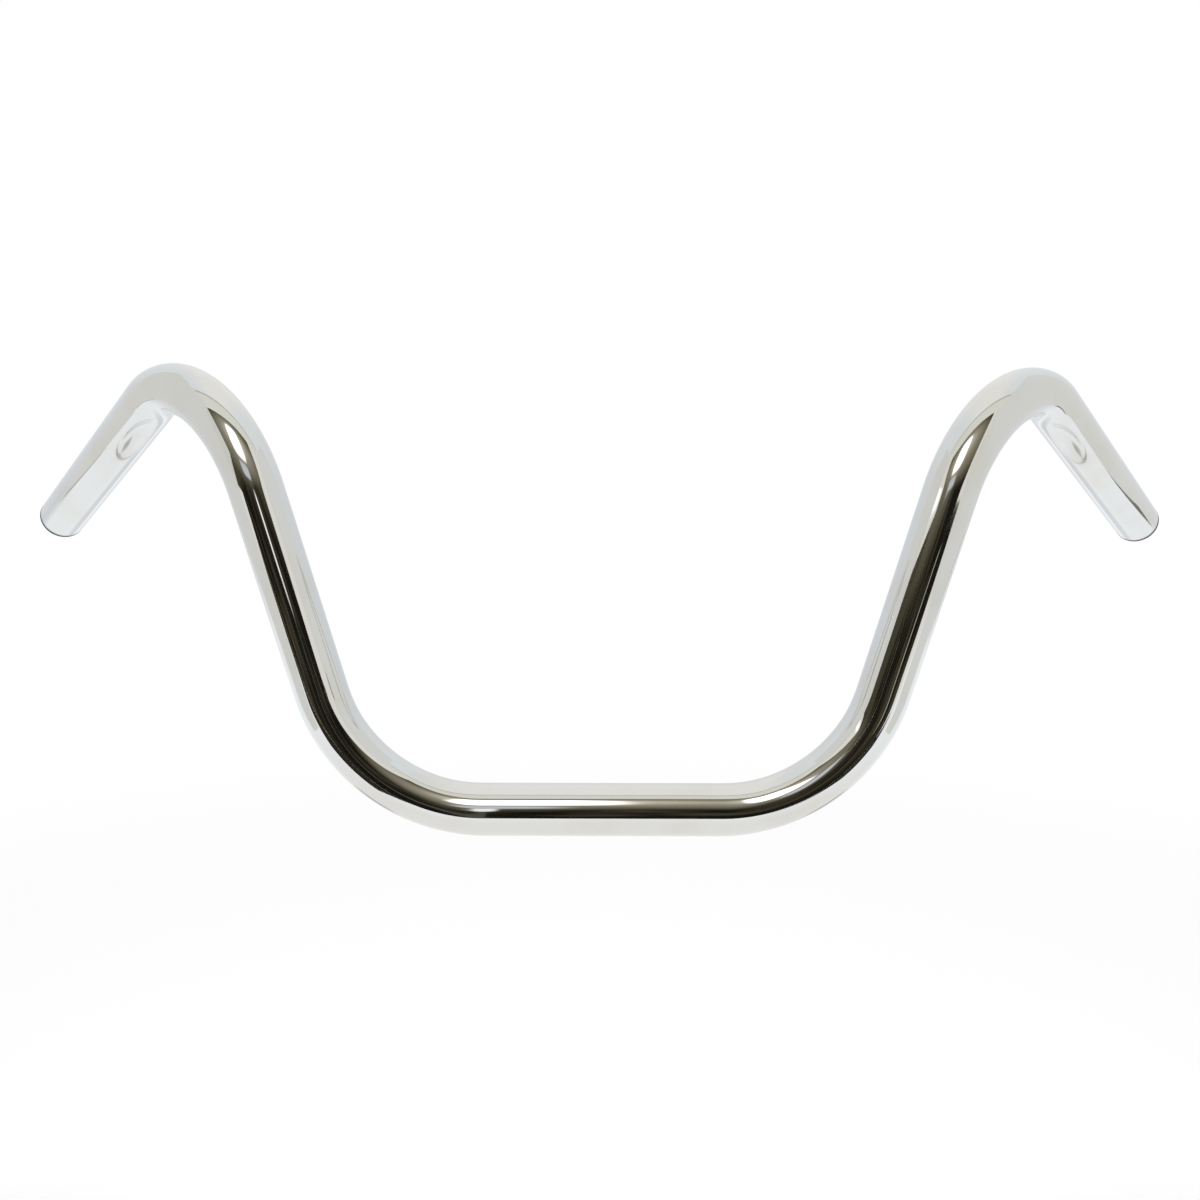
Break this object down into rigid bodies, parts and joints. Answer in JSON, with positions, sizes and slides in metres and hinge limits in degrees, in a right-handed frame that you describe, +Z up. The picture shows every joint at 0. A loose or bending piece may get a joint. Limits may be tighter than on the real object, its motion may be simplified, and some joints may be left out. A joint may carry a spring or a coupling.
{
  "type": "motorcycle handlebar",
  "caption": "Mid-rise motorcycle handlebar: a chromed round steel tube bent up into risers and back into drooping grips, with pressed wire dimples under the grips.",
  "frame": {"origin": "middle of the clamped centre section, on the tube's axis", "axes": "+X along the centre section to the rider's right, +Y rearwards along the sweep of the grips, +Z up along the risers' plane"},
  "size_m": [0.673, 0.1875, 0.2256],
  "materials": {
    "chrome": "bright chrome plate on polished steel tube"
  },
  "bodies": {
    "root": {"handlebar": "chrome"}
  },
  "joints": []
}
